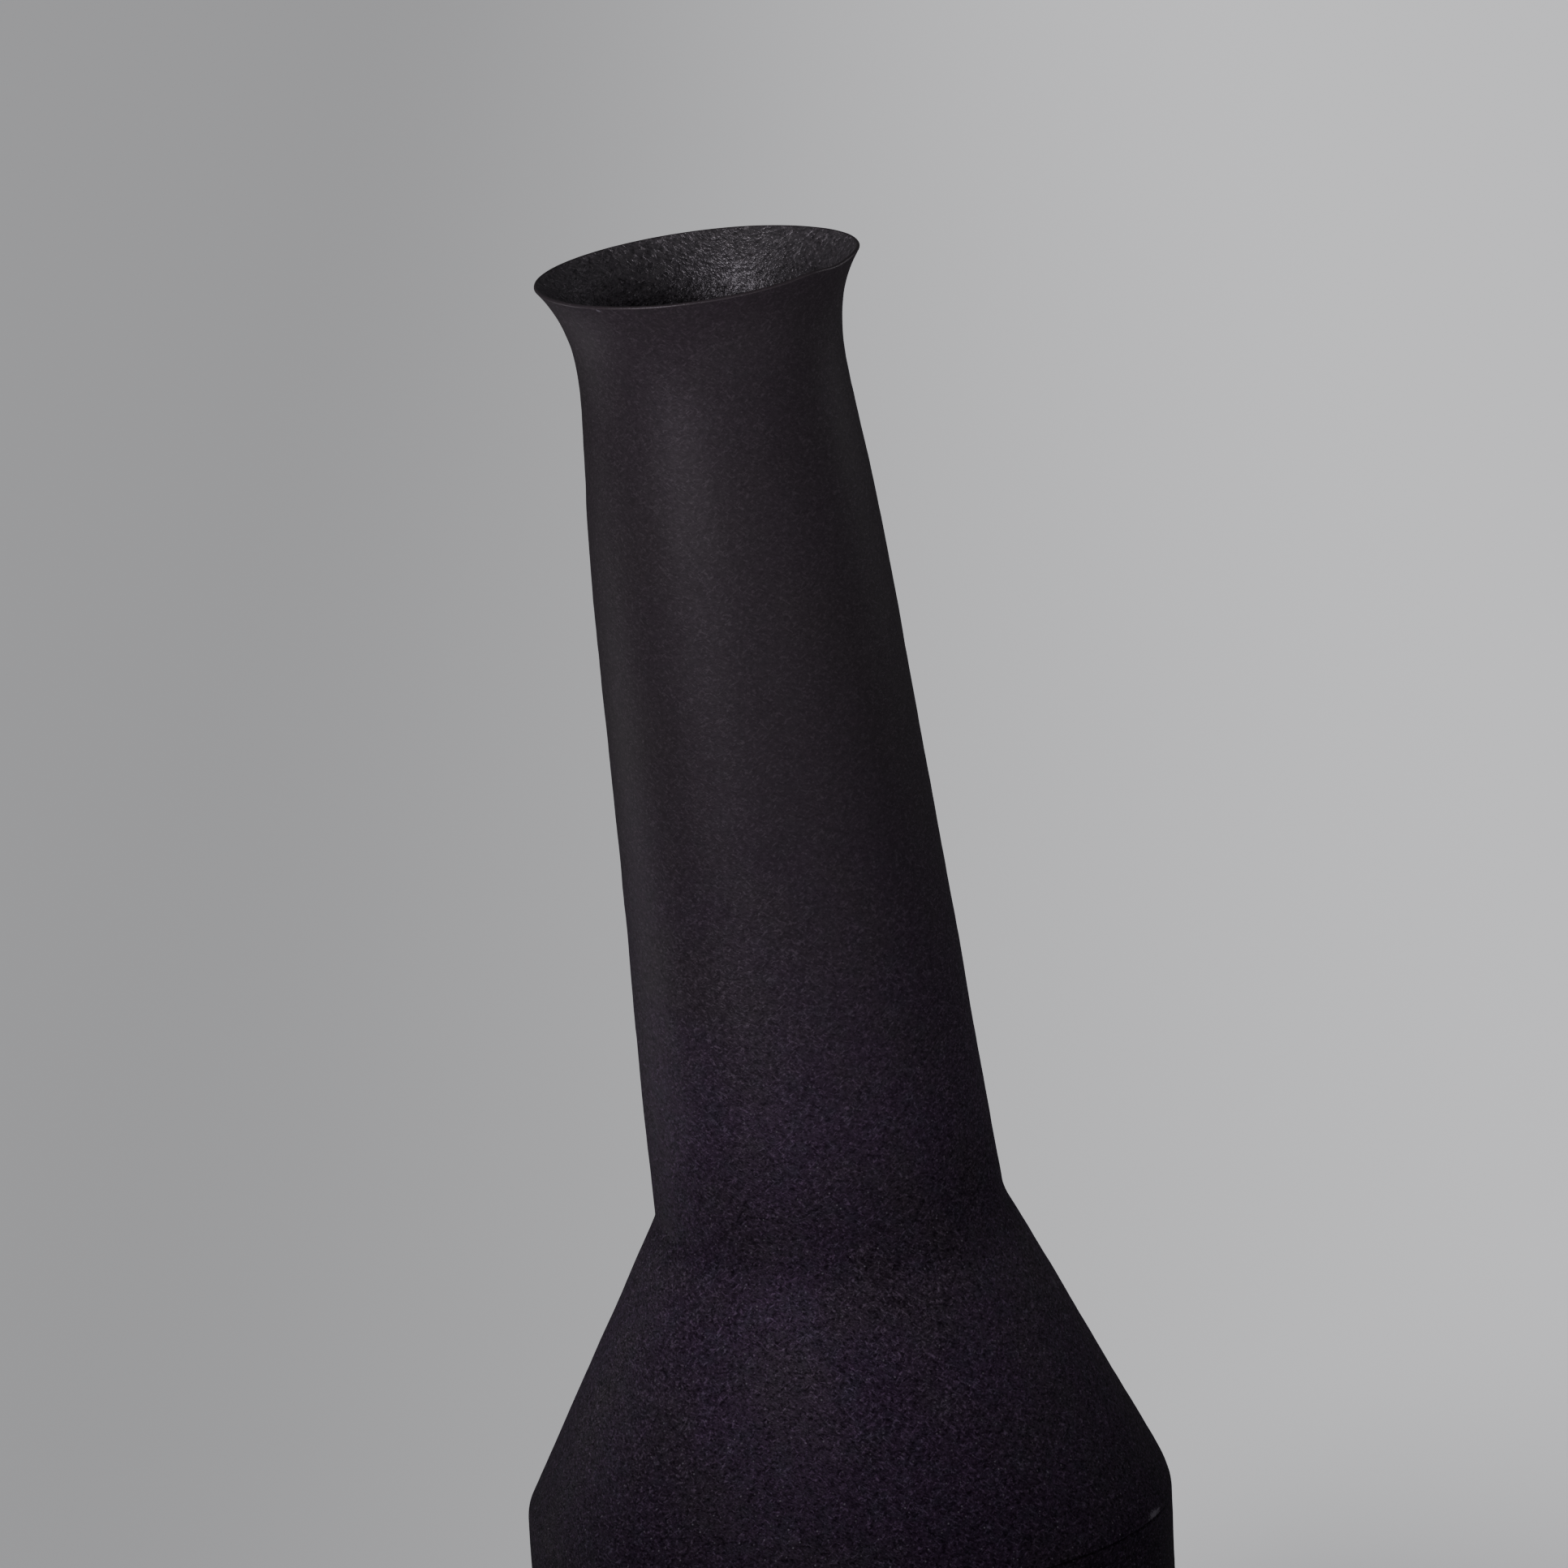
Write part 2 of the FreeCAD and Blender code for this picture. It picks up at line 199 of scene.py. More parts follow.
def eased(before, corner, after, reach, count):
    """Rings that round a corner, starting and ending reach millimetres from it, short of before."""
    reach = np.broadcast_to(reach, turn.shape)[:, None]
    room = np.linalg.norm(before - corner, axis=1, keepdims=True)
    start = corner + unit(before - corner) * np.minimum(reach, 0.95 * room)
    end = corner + unit(after - corner) * reach
    shares = np.linspace(0.0, 1.0, count)
    return [(1 - s) ** 2 * start + 2 * s * (1 - s) * corner + s ** 2 * end for s in shares]


# ---------------------------------------------------------------- unevenness left by the hand

chance = np.random.default_rng(27)


def make_field(wavelength, count=48, flatten=1.0):
    """A smooth random field in space; flatten above 1 makes its bumps wider than they are tall."""
    directions = unit(chance.normal(size=(count, 3)))
    stretch = chance.uniform(0.75, 1.3, size=(count, 1))
    numbers = directions * stretch * 2.0 * np.pi / wavelength * np.array([1.0, 1.0, flatten])
    phases = chance.uniform(0.0, 2.0 * np.pi, size=count)

    def field(points):
        total = np.zeros(points.shape[:-1])
        for number, phase in zip(numbers, phases):
            total += np.cos(points @ number + phase)
        return total * math.sqrt(2.0 / count)

    return field


# Height and field of each kind of unevenness, from the broadest to the finest, in millimetres.
UNEVENNESS = (
    (0.10, make_field(70.0)),                  # swell of the coiled wall
    (0.035, make_field(24.0, flatten=1.4)),    # the palm that held it
    (0.012, make_field(7.0, flatten=1.8)),     # the scraper
)
FINGERED = 2.2                                 # how much rougher it is where only fingers reach


def hand_work(points, inside):
    """Outward unevenness in millimetres."""
    gentle = sum(height * field(points) for height, field in UNEVENNESS)
    return gentle * (FINGERED if inside else 1.0)


def smooth_step(value, low, high):
    """0 below low, 1 above high, eased between."""
    share = np.clip((value - low) / (high - low), 0.0, 1.0)
    return share * share * (3.0 - 2.0 * share)


def worked(rings, inside=False):
    """The rings with the unevenness of hand work, pushed along each ring's spokes."""
    result = []
    for ring in rings:
        outward = unit(ring - ring.mean(axis=0))
        result.append(ring + outward * hand_work(ring, inside)[:, None])
    return result


# ---------------------------------------------------------------- outer and inner skins


def turns_from(heading, width):
    """How far each point of a ring lies from a heading, both ways, in widths; degrees."""
    return np.angle(np.exp(1j * (turn - math.radians(heading)))) / math.radians(width)


# The joint of wall and shoulder was smoothed over on the leaning side and left open on the other,
# where it wanders up to the shoulder's edge and sags again where the groove is nearly closed.
open_joint = smooth_step(cos_turn, -0.35, 0.25)
closed_spot = np.exp(-turns_from(-4.0, 10.0) ** 2)
joint_level = WALL_TOP + 0.9 + np.cos(turn + math.radians(50.0)) - 0.7 * closed_spot
groove_depth = 1.2 * open_joint * (1.0 - 0.85 * closed_spot)
GROOVE_BELOW = 0.55
GROOVE_ABOVE = 0.2
# The edge above it is crisp on the leaning side and worn round on the other, as is the crease.
edge_level = WALL_TOP + BAND_HEIGHT + 1.7 * open_joint
edge_reach = 1.2 + 4.3 * smooth_step(cos_turn, -0.6, 0.8)
crease_reach = 1.4 + 1.0 * smooth_step(cos_turn, -0.2, 0.9)
CREASE_ROOM = 10.0         # how far up the neck the line that leaves the crease is taken

neck_foot_outer = neck_ring(foot_along(0.0))
neck_foot_inner = neck_ring(foot_along(NECK_FOOT_WALL), NECK_FOOT_WALL)

groove_foot = level_ring(BODY_RADIUS, joint_level - GROOVE_BELOW)
groove_bed = level_ring(BODY_RADIUS - groove_depth, joint_level)
groove_head = level_ring(BODY_RADIUS, joint_level + GROOVE_ABOVE)
corner = level_ring(BODY_RADIUS, edge_level)
slab_edge = level_ring(BODY_RADIUS, SLAB_TOP)
foot_edge = level_ring(BODY_RADIUS, FOOT_BEVEL)
rest_edge = level_ring(BODY_RADIUS - FOOT_BEVEL, 0.0)

crease = eased(corner, neck_foot_outer, neck_ring(foot_along(0.0) + CREASE_ROOM),
               crease_reach, 9)
crease_middle = len(crease) // 2

outer_slab = worked(eased(rest_edge * [0.9, 0.9, 1.0], rest_edge, foot_edge, EDGE_ROUND, 5)
                    + eased(rest_edge, foot_edge, slab_edge, EDGE_ROUND, 5)
                    + straight(level_ring(BODY_RADIUS, FOOT_BEVEL + EDGE_ROUND), slab_edge, 6, False)
                    + [slab_edge])
outer_wall = worked(straight(slab_edge, groove_foot, 84)
                    + straight(groove_foot, groove_bed, 4) + [groove_bed])
corner_rounds = eased(groove_head, corner, neck_foot_outer, edge_reach, 15)
outer_shoulder = worked(straight(groove_bed, groove_head, 4) + [groove_head]
                        + corner_rounds
                        + straight(corner_rounds[-1], crease[0], 70, False)
                        + crease[:crease_middle + 1])

crease_top_along = foot_along(0.0) + crease_reach
outer_neck = worked(crease[crease_middle:]
                    + [neck_ring(crease_top_along + (LIP_JOINT - crease_top_along) * share)
                       for share in np.linspace(0.0, 1.0, 128)[1:]])

# The lip's edge is cut by eye: it rises and dips a little, with one small wave at the front right.
off_wave = turns_from(-38.0, 9.0)
lip_trim = (0.22 * np.cos(2.0 * turn + 0.7) + 0.12 * np.cos(3.0 * turn + 2.1)
            + 0.2 * np.cos(turn - math.radians(130.0))
            - 0.45 * off_wave * np.exp(0.5 - 0.5 * off_wave ** 2))
LIP_SHORT = 0.5            # how far the edge is cut below the neck's full length
lip_end = NECK_LENGTH - LIP_SHORT + lip_trim


def lip_rows(count):
    """Shares of the lip's height, closer together towards its edge."""
    shares = np.linspace(0.0, 1.0, count)
    return 1.0 - (1.0 - shares) ** 1.35


def rim_ring(share):
    """Ring on the rounded rim, from the outside (0) over the crown (0.5) to the inside (1)."""
    slope = np.arctan(neck_slope(lip_end))
    angle = math.pi * share
    depth = LIP_THICKNESS * 0.5 * (1.0 - math.cos(angle))
    crown = LIP_THICKNESS * 0.42 * math.sin(angle)
    ring = neck_ring(lip_end, depth)
    along_wall = (np.sin(slope)[:, None] * spokes(LEANING) + np.cos(slope)[:, None] * LEANING[2])
    return ring + along_wall * crown


outer_lip = [neck_ring(LIP_JOINT + (lip_end - LIP_JOINT) * share) for share in lip_rows(66)]
rim = [rim_ring(share) for share in np.linspace(0.0, 1.0, 13)[1:-1]]
outer_lip = worked(outer_lip + rim)
RIM_ROWS = len(rim) + 1

inner_lip = worked([neck_ring(LIP_JOINT + (lip_end - LIP_JOINT) * share,
                              neck_wall(LIP_JOINT + (NECK_LENGTH - LIP_JOINT) * share))
                    for share in lip_rows(60)[::-1]])
inner_neck_foot_along = foot_along(NECK_FOOT_WALL)
inner_neck = worked([neck_ring(LIP_JOINT + (inner_neck_foot_along - LIP_JOINT) * share,
                               neck_wall(LIP_JOINT * (1.0 - share)))
                     for share in np.linspace(0.0, 1.0, 52)])
inner_wall_top = level_ring(BODY_RADIUS - WALL_THICKNESS, WALL_TOP)
inner_wall_foot = level_ring(BODY_RADIUS - WALL_THICKNESS, SLAB_TOP)
inner_shoulder = worked(straight(neck_foot_inner, inner_wall_top, 28) + [inner_wall_top])
inner_wall = worked(straight(inner_wall_top, inner_wall_foot, 34) + [inner_wall_foot])


# ---------------------------------------------------------------- meshes


SHARP_EDGE = 38.0          # degrees; a fold sharper than this is a real edge


def finish_piece(name, points, faces, *materials):
    """Make the mesh object, smooth between its real edges, standing for the CAD part of its name."""
    mesh = bpy.data.meshes.new(name)
    mesh.from_pydata((points * MM).tolist(), [], faces)
    mesh.validate()
    for material in materials:
        mesh.materials.append(material)
    mesh.polygons.foreach_set("use_smooth", [True] * len(mesh.polygons))
    mesh.set_sharp_from_angle(angle=math.radians(SHARP_EDGE))
    piece = bpy.data.objects.new(name, mesh)
    bpy.context.scene.collection.objects.link(piece)
    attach(piece, "root")
    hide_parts(name)
    return piece


def ring_faces(first_row, second_row):
    """Four-sided faces between two neighbouring rows of points."""
    following = np.roll(np.arange(AROUND), -1)
    a = first_row * AROUND + np.arange(AROUND)
    b = first_row * AROUND + following
    c = second_row * AROUND + following
    d = second_row * AROUND + np.arange(AROUND)
    return np.stack([a, b, c, d], axis=1).tolist()


def clay_tube(name, outer, inner, *materials, pale_rim_rows=0):
    """A hollow piece: outer skin upwards, top joint, inner skin downwards, foot joint.

    materials are for the outside, the inside and the last pale_rim_rows rows of the outside.
    """
    rows = outer + inner
    faces = []
    for row in range(len(rows)):
        faces += ring_faces(row, (row + 1) % len(rows))
    piece = finish_piece(name, np.concatenate(rows), faces, *materials)
    inside_start = len(outer) - (0 if pale_rim_rows else 1)
    slots = np.zeros(len(rows), int)
    slots[inside_start:] = 1
    slots[inside_start - pale_rim_rows:inside_start] = 2 if pale_rim_rows else 0
    slots = np.repeat(slots, AROUND).tolist()
    piece.data.polygons.foreach_set("material_index", slots)
    return piece


def clay_disc(name, rows, material):
    """A solid round piece: rows from the middle of the underside, round the edge, to the top."""
    points = np.concatenate(rows)
    faces = []
    for row in range(len(rows) - 1):
        faces += ring_faces(row, row + 1)
    last = (len(rows) - 1) * AROUND
    faces.append(list(range(AROUND))[::-1])
    faces.append([last + index for index in range(AROUND)])
    return finish_piece(name, points, faces, material)


# ---------------------------------------------------------------- materials


def to_linear(hex_colour):
    """An sRGB hex colour as linear red, green, blue and alpha."""
    values = [int(hex_colour[i:i + 2], 16) / 255.0 for i in (1, 3, 5)]
    linear = [v / 12.92 if v <= 0.04045 else ((v + 0.055) / 1.055) ** 2.4 for v in values]
    return (*linear, 1.0)


def add_node(tree, kind, links=None, **settings):
    """Add a node with its settings; links gives inputs by name or number, each a value, another
    node's socket, or another node, which stands for its first socket in use."""
    node = tree.nodes.new(kind)
    for key, value in settings.items():
        setattr(node, key, value)
    for key, value in (links or {}).items():
        if isinstance(value, bpy.types.Node):
            value = next(socket for socket in value.outputs if socket.enabled)
        if isinstance(value, bpy.types.NodeSocket):
            tree.links.new(value, node.inputs[key])
        else:
            node.inputs[key].default_value = value
    return node


def flecks(tree, place, width, stretch, turned, start, detail=2.0):
    """Noise drawn out into short flecks: width in mm, longer by stretch, turned about Y by degrees."""
    drawn = add_node(tree, "ShaderNodeMapping",
                     {"Vector": place, "Location": (start, start, start),
                      "Rotation": (0.0, math.radians(turned), 0.0),
                      "Scale": (width * stretch, width * stretch, width)}, vector_type="TEXTURE")
    return add_node(tree, "ShaderNodeTexNoise",
                    {"Vector": drawn, "Scale": 1.0, "Detail": detail, "Roughness": 0.6}).outputs[0]


def scraped_strokes(tree, place, grain):
    """The scraper's short pale strokes, which lie in two directions and cross here and there."""
    sides = []
    for turned, start in ((35.0, 80.0), (-40.0, 120.0)):
        noise = flecks(tree, place, 1.15 * grain, 2.3, turned, start)
        sides.append(add_node(tree, "ShaderNodeMapRange",
                              {"Value": noise, "From Min": 0.57, "From Max": 0.70}))
    return add_node(tree, "ShaderNodeMath", {0: sides[0], 1: sides[1]}, operation="MAXIMUM")


PATCH_SIZE = 4.5     # mm, small patches of the smoke's colour
CLOUD_SIZE = 24.0    # mm, broad clouds of it


def smoke_colour(tree, place, level, tones):
    """Smoke's clouds of violet, blue and grey, all greyer towards the mouth; level is the height."""
    violet, blue, grey, mouth = [to_linear(tone) for tone in tones]
    patch = flecks(tree, place, PATCH_SIZE, 1.2, 0.0, 200.0, detail=3.0)
    bluish = add_node(tree, "ShaderNodeMapRange",
                      {"Value": patch, "From Min": 0.46, "From Max": 0.68, "To Max": 0.6})
    cloud = add_node(tree, "ShaderNodeTexNoise",
                     {"Vector": place, "Scale": 1.0 / CLOUD_SIZE, "Detail": 5.0, "Roughness": 0.6})
    greyish = add_node(tree, "ShaderNodeMapRange",
                       {"Value": cloud, "From Min": 0.45, "From Max": 0.67, "To Max": 0.62})
    upper = add_node(tree, "ShaderNodeMapRange",
                     {"Value": level, "From Min": 165.0, "From Max": 300.0, "To Max": 0.85},
                     interpolation_type="SMOOTHSTEP")
    colour = add_node(tree, "ShaderNodeMix", {0: bluish, 6: violet, 7: blue}, data_type="RGBA")
    colour = add_node(tree, "ShaderNodeMix", {0: greyish, 6: colour, 7: grey}, data_type="RGBA")
    return add_node(tree, "ShaderNodeMix", {0: upper, 6: colour, 7: mouth}, data_type="RGBA")


def painted_light_by_height(tree, level, painted_light_at_mouth):
    """Painted light and shade by height: darker towards the foot as painted shade, paler up the neck
    and at the mouth as painted light, with a painted shade band in the crease of the neck.
    """
    # Painted shade round the foot, painted light up the neck, then the painted light and shade at the
    # mouth.
    stages = (
        (85.0, 160.0, 0.33, 0.89, "SMOOTHSTEP"),
        (165.0, 350.0, 1.0, 1.6, "LINEAR"),
        (358.0, 382.0, *painted_light_at_mouth, "LINEAR"),
    )
    strength = 1.0
    for low, high, at_low, at_high, curve in stages:
        stage = add_node(tree, "ShaderNodeMapRange",
                         {"Value": level, "From Min": low, "From Max": high,
                          "To Min": at_low, "To Max": at_high}, interpolation_type=curve)
        strength = add_node(tree, "ShaderNodeMath", {0: stage, 1: strength}, operation="MULTIPLY")
    # Painted shade: a darker band in the crease where the neck stands on the shoulder.
    sides = []
    for low, high, at_low, at_high in ((162.0, 169.0, 1.0, 0.74), (172.0, 200.0, 0.74, 1.0)):
        sides.append(add_node(tree, "ShaderNodeMapRange",
                              {"Value": level, "From Min": low, "From Max": high,
                               "To Min": at_low, "To Max": at_high}, interpolation_type="SMOOTHSTEP"))
    crease_painted_shade = add_node(tree, "ShaderNodeMath", {0: sides[0], 1: sides[1]}, operation="MAXIMUM")
    return add_node(tree, "ShaderNodeMath", {0: strength, 1: crease_painted_shade}, operation="MULTIPLY")


def mica_flakes_and_glints(tree, place, grain, coarse):
    """A few flakes of mica in the clay, painted pale: partly their own silvery colour, partly a painted
    glint, each with its own brightness.
    """
    mica = add_node(tree, "ShaderNodeTexVoronoi",
                    {"Vector": place, "Scale": 1.0 / (1.7 * grain), "Randomness": 1.0})
    brightness = add_node(tree, "ShaderNodeSeparateColor", {0: mica.outputs["Color"]})
    chosen = add_node(tree, "ShaderNodeMapRange",
                      {"Value": brightness, "From Min": 0.90, "From Max": 1.0, "To Max": 0.8})
    near = add_node(tree, "ShaderNodeMapRange",
                    {"Value": mica.outputs["Distance"], "From Min": 0.10, "From Max": 0.34,
                     "To Min": 1.0, "To Max": 0.0})
    flake = add_node(tree, "ShaderNodeMath", {0: chosen, 1: near}, operation="MULTIPLY")
    return add_node(tree, "ShaderNodeMath", {0: flake, 1: coarse}, operation="MULTIPLY")


def bare_knock(tree, place, sand, middle, half_length, half_height, share):
    """A ragged oval where a knock scratched the smoke off; share is how bare it is."""
    off = add_node(tree, "ShaderNodeVectorMath", {0: place, 1: middle}, operation="SUBTRACT")
    sized = add_node(tree, "ShaderNodeVectorMath",
                     {0: off, 1: (1.0 / half_length, 1.0 / half_length, 1.0 / half_height)},
                     operation="MULTIPLY")
    reach = add_node(tree, "ShaderNodeVectorMath", {0: sized}, operation="LENGTH").outputs["Value"]
    ragged = add_node(tree, "ShaderNodeMath", {0: sand, 1: 2.2, 2: reach}, operation="MULTIPLY_ADD")
    return add_node(tree, "ShaderNodeMapRange",
                    {"Value": ragged, "From Min": 1.5, "From Max": 2.0, "To Min": share, "To Max": 0.0})


def smoke_fired_clay(name, grain, relief, roughness, ior, shine, tones, flake_tone, contrast,
                     stroke_gain, wiped, painted_light_at_mouth, bare_spots=()):
    """Unburnished barro negro: coarse clay scraped when leather hard and blackened by smoke.

    It gives the eye a matte violet black with a close felt-like grain, a haze of pale crossing
    strokes and a few sparks of mica, painted as pale glints.  All patterns run in millimetres.
    grain is the width of the sand the scraper drags up, the coarse end of what is in the clay,
    since sand finer than that would not show; relief is its height.
    contrast is how much paler rubbed sand is than the sooty hollows, stroke_gain how much paler
    the strokes are.  The neck was wiped with a wet hand, which leaves the share wiped of all this
    at its top.  tones are violet, blue, grey and the tone at the mouth, and painted_light_at_mouth is
    painted
    light and shade at the mouth: how much paler the colour is painted just below the lip and at
    its edge.
    Each of bare_spots is a knock: its middle, half its length, half its height and how bare it is.
    """
    material = bpy.data.materials.new(name)
    material.use_nodes = True
    tree = material.node_tree
    shader = tree.nodes["Principled BSDF"]

    place = add_node(tree, "ShaderNodeTexCoord").outputs["Object"]
    in_mm = add_node(tree, "ShaderNodeVectorMath", {0: place, "Scale": 1 / MM}, operation="SCALE")
    level = add_node(tree, "ShaderNodeSeparateXYZ", {0: in_mm}).outputs[2]
    coarse = add_node(tree, "ShaderNodeMapRange",
                      {"Value": level, "From Min": 150.0, "From Max": 280.0, "To Min": 1.0,
                       "To Max": wiped}, interpolation_type="SMOOTHSTEP")

    # Sand in two sizes, dragged sideways, with the strokes standing a little proud of it.
    sand = flecks(tree, in_mm, 1.1 * grain, 1.5, 20.0, 0.0)
    grit = flecks(tree, in_mm, 2.8 * grain, 1.3, -25.0, 40.0)
    ground = add_node(tree, "ShaderNodeMix", {0: 0.36, 2: sand, 3: grit})
    strokes = scraped_strokes(tree, in_mm, grain)
    height = add_node(tree, "ShaderNodeMath", {0: strokes, 1: 0.3, 2: ground}, operation="MULTIPLY_ADD")
    bump = add_node(tree, "ShaderNodeBump",
                    {"Height": height, "Distance": relief * MM, "Strength": coarse})

    # Sand is rubbed paler and shinier and the hollows stay sooty; wiping leaves less of both.
    rubbed = add_node(tree, "ShaderNodeMapRange",
                      {"Value": ground, "From Min": 0.36, "From Max": 0.66,
                       "To Min": 1.3 / contrast, "To Max": contrast})
    lifted = add_node(tree, "ShaderNodeMath", {0: strokes, 1: stroke_gain, 2: rubbed},
                      operation="MULTIPLY_ADD")
    grained = add_node(tree, "ShaderNodeMix", {0: coarse, 2: 1.2, 3: lifted})
    # The grain's paleness times the painted light and shade by height; the specular level below follows
    # the same painted light.
    grain_and_painted_light = add_node(tree, "ShaderNodeMath",
                        {0: grained, 1: painted_light_by_height(tree, level, painted_light_at_mouth)}, operation="MULTIPLY")
    body = add_node(tree, "ShaderNodeVectorMath",
                    {0: smoke_colour(tree, in_mm, level, tones), "Scale": grain_and_painted_light}, operation="SCALE")

    bare = mica_flakes_and_glints(tree, in_mm, grain, coarse)
    for spot in bare_spots:
        knock = bare_knock(tree, in_mm, sand, *spot)
        bare = add_node(tree, "ShaderNodeMath", {0: bare, 1: knock}, operation="MAXIMUM")

    colour = add_node(tree, "ShaderNodeMix", {0: bare, 6: body, 7: to_linear(flake_tone)},
                      data_type="RGBA")
    mirrored = add_node(tree, "ShaderNodeMath", {0: grain_and_painted_light, 1: shine}, operation="MULTIPLY")
    mirrored = add_node(tree, "ShaderNodeMath", {0: mirrored, 1: 1.0}, operation="MINIMUM")
    tree.links.new(colour.outputs[2], shader.inputs["Base Color"])
    tree.links.new(mirrored.outputs[0], shader.inputs["Specular IOR Level"])
    tree.links.new(bump.outputs[0], shader.inputs["Normal"])
    shader.inputs["Roughness"].default_value = roughness
    shader.inputs["IOR"].default_value = ior
    shader.inputs["Specular Tint"].default_value = to_linear("#efe6f2")
    shader.inputs["Sheen Weight"].default_value = 0.04
    shader.inputs["Sheen Roughness"].default_value = 0.4
    return material


# Outside: scraped all over and left dull, so the grain is fine and only the mica sparks, painted as
# pale glints, look bright.
clay_outside = smoke_fired_clay(
    "smoke_fired_clay_scraped", grain=0.44, relief=0.34, roughness=0.50, ior=1.5, shine=0.21,
    tones=("#342439", "#2d2937", "#332c32", "#352f33"), flake_tone="#9a92a0",
    contrast=2.5, stroke_gain=3.2, wiped=0.22, painted_light_at_mouth=(1.0, 1.35),
    # The first knock, on the groove's edge at the front right, is partly a chip bared of smoke and
    # partly a painted highlight where that edge catches the light.
    bare_spots=(((64.9, -25.9, 105.6), 4.0, 1.0, 0.6), ((46.0, -6.1, 152.4), 2.2, 1.2, 0.25),
                ((-40.6, -32.7, 374.4), 0.7, 0.5, 0.8)))
# Inside: wiped by wet fingers only, so it is coarser, and it gleams like graphite near the mouth; its
# colour is painted much darker below the mouth as painted shade in the neck, and paler at the edge as
# painted light.
clay_inside = smoke_fired_clay(
    "smoke_fired_clay_wiped", grain=0.56, relief=0.46, roughness=0.33, ior=2.0, shine=0.46,
    tones=("#372a3c", "#35343c", "#3a3738", "#403d3f"), flake_tone="#a8a2ac",
    contrast=2.2, stroke_gain=2.6, wiped=1.0, painted_light_at_mouth=(0.35, 1.75))
# The lip's edge: rubbed by handling and also painted paler as a painted highlight along the rim, so a
# thin pale smooth line runs round the mouth.
clay_rubbed_and_highlit = smoke_fired_clay(
    "smoke_fired_clay_rubbed_edge_painted_highlight", grain=0.42, relief=0.10, roughness=0.34, ior=1.5, shine=1.6,
    tones=("#3e343d", "#3a3740", "#3f393d", "#3f383c"), flake_tone="#a8a2ac",
    contrast=1.3, stroke_gain=0.4, wiped=0.6, painted_light_at_mouth=(1.0, 1.25))

# ---------------------------------------------------------------- pieces

underside = [level_ring(BODY_RADIUS * share, 0.0) for share in (0.25, 0.6, 0.9)]
topside = [level_ring(BODY_RADIUS * share, SLAB_TOP) for share in (0.9, 0.6, 0.25)]
clay_disc("base_slab", underside + outer_slab + topside, clay_outside)
clay_tube("body_wall", outer_wall, inner_wall, clay_outside, clay_inside)
clay_tube("shoulder_cone", outer_shoulder, inner_shoulder, clay_outside, clay_inside)
clay_tube("neck_tube", outer_neck, inner_neck, clay_outside, clay_inside)
clay_tube("flared_lip", outer_lip, inner_lip, clay_outside, clay_inside, clay_rubbed_and_highlit,
          pale_rim_rows=RIM_ROWS)

for coil in ("floor_coil", "shoulder_coil", "neck_coil"):
    coil_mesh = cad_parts[coil].data
    coil_mesh.materials.clear()
    coil_mesh.materials.append(clay_inside)

# ---------------------------------------------------------------- stage, light and camera


def stage_with_painted_falloff(name, low_hex, high_hex):
    """Matte studio paper with a painted light falloff: a little darker towards -X than towards +X."""
    material = bpy.data.materials.new(name)
    material.use_nodes = True
    tree = material.node_tree
    shader = tree.nodes["Principled BSDF"]
    place = add_node(tree, "ShaderNodeTexCoord").outputs["Object"]
    across = add_node(tree, "ShaderNodeSeparateXYZ", {0: place})
    share = add_node(tree, "ShaderNodeMapRange",
                     {"Value": across.outputs[0], "From Min": -0.22, "From Max": 0.26},
                     interpolation_type="SMOOTHSTEP")
    paper = add_node(tree, "ShaderNodeMix",
                     {0: share.outputs[0], 6: to_linear(low_hex), 7: to_linear(high_hex)},
                     data_type="RGBA")
    tree.links.new(paper.outputs[2], shader.inputs["Base Color"])
    shader.inputs["Roughness"].default_value = 0.9
    return material


bpy.ops.mesh.primitive_circle_add(vertices=96, radius=7.0, fill_type="NGON", location=(0, 0, 0))
floor = bpy.context.object
floor.name = "studio_floor"
floor.data.materials.append(stage_with_painted_falloff("matte_studio_paper", "#adadaf", "#f3f3f6"))
floor.visible_diffuse = False
floor.visible_glossy = False
floor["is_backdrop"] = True

world = bpy.data.worlds.new("studio_air")
world.use_nodes = True
world.node_tree.nodes["Background"].inputs["Color"].default_value = to_linear("#cfcfd2")
world.node_tree.nodes["Background"].inputs["Strength"].default_value = 0.066
bpy.context.scene.world = world


def toward_light(heading, elevation):
    """Direction to a light; heading is degrees left of the front."""
    side, lift = math.radians(heading), math.radians(elevation)
    return Vector((-math.sin(side) * math.cos(lift), -math.cos(side) * math.cos(lift), math.sin(lift)))


def soft_light(name, heading, distance, height, aim_height, size, power):
    """Square soft box, heading degrees left of the front, aimed at the vase's axis; metres, watts."""
    data = bpy.data.lights.new(name, "AREA")
    data.shape = "SQUARE"
    data.size = size
    data.energy = power
    lamp = bpy.data.objects.new(name, data)
    lamp.location = toward_light(heading, 0.0) * distance + Vector((0.0, 0.0, height))
    aimed_at = Vector((0.0, 0.0, aim_height))
    lamp.rotation_mode = "QUATERNION"
    lamp.rotation_quaternion = (lamp.location - aimed_at).to_track_quat("Z", "Y")
    bpy.context.scene.collection.objects.link(lamp)
    return lamp


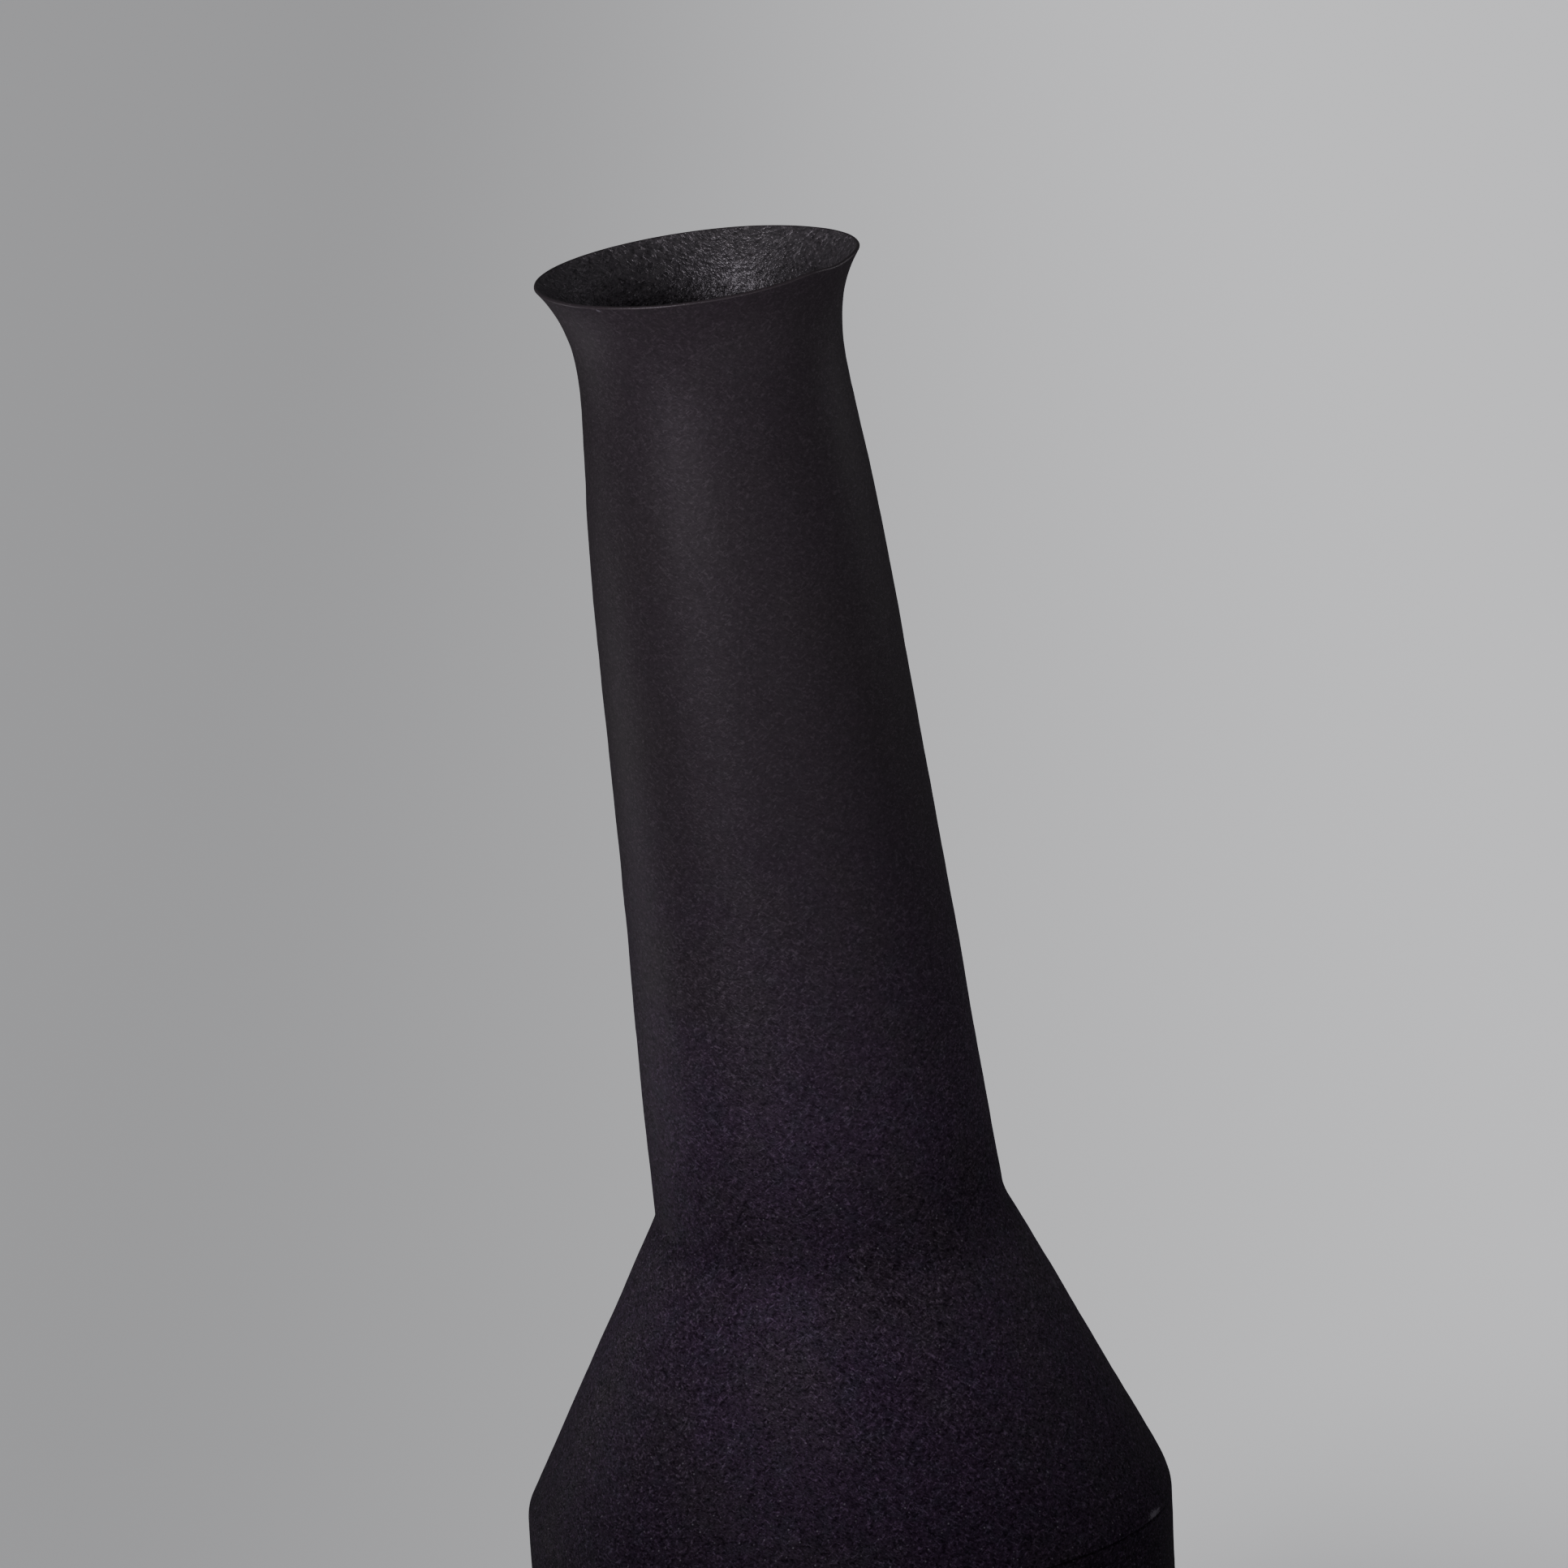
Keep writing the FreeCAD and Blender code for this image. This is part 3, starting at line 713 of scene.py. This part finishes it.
# A broad soft sun lights the paper, as a window would.
window = bpy.data.lights.new("window_light", "SUN")
window.energy = 3.55
window.angle = math.radians(32.0)
window_lamp = bpy.data.objects.new("window_light", window)
window_lamp.rotation_mode = "QUATERNION"
window_lamp.rotation_quaternion = toward_light(42.0, 46.0).to_track_quat("Z", "Y")
bpy.context.scene.collection.objects.link(window_lamp)

# The vase has soft boxes of its own: a large key from the front left, two weak low fills from the
# front, and one box a little behind each side, which draws that edge.
key = soft_light("key_soft_box", 34.0, 1.50, 0.50, 0.35, 0.90, 7.1)
low_front = soft_light("low_front_soft_box", -22.0, 0.50, 0.16, 0.16, 0.30, 0.17)
low_side = soft_light("low_side_soft_box", -60.0, 0.50, 0.16, 0.16, 0.30, 0.075)
left_edge = soft_light("left_edge_soft_box", 112.0, 0.42, 0.10, 0.12, 0.25, 0.13)
right_edge = soft_light("right_edge_soft_box", -112.0, 0.50, 0.42, 0.35, 0.30, 0.14)


def light_only(lamps, objects, name):
    """Let these lamps reach only these objects."""
    lit = bpy.data.collections.new(name)
    for item in objects:
        lit.objects.link(item)
    for lamp in lamps:
        lamp.light_linking.receiver_collection = lit


light_only((window_lamp,), (floor,), "lit_by_window")
light_only((key, low_front, low_side, left_edge, right_edge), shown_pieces(), "lit_by_soft_boxes")

# The camera looks down on the vase with a long lens, rolled so that the upright body leans left.
LENS = 214.3
PITCH = 13.64
ROLL = -2.76
DISTANCE = 1.9884
AIM_HEIGHT = cad_low.z + (cad_high.z - cad_low.z) * 0.6909
aim = Vector((-0.0069, 0.0, AIM_HEIGHT))

pitch, roll = math.radians(PITCH), math.radians(ROLL)
look = Vector((0.0, math.cos(pitch), -math.sin(pitch)))
level_right = Vector((1.0, 0.0, 0.0))
level_up = Vector((0.0, math.sin(pitch), math.cos(pitch)))
camera_right = math.cos(roll) * level_right + math.sin(roll) * level_up
camera_up = -math.sin(roll) * level_right + math.cos(roll) * level_up

camera_data = bpy.data.cameras.new("camera")
camera_data.lens = LENS
camera_data.sensor_width = 36.0
camera_data.clip_start = 0.1
camera_data.clip_end = 50.0
camera = bpy.data.objects.new("camera", camera_data)
camera.matrix_world = Matrix.Translation(aim - look * DISTANCE) @ Matrix(
    (camera_right, camera_up, -look)).transposed().to_4x4()
bpy.context.scene.collection.objects.link(camera)
bpy.context.scene.camera = camera
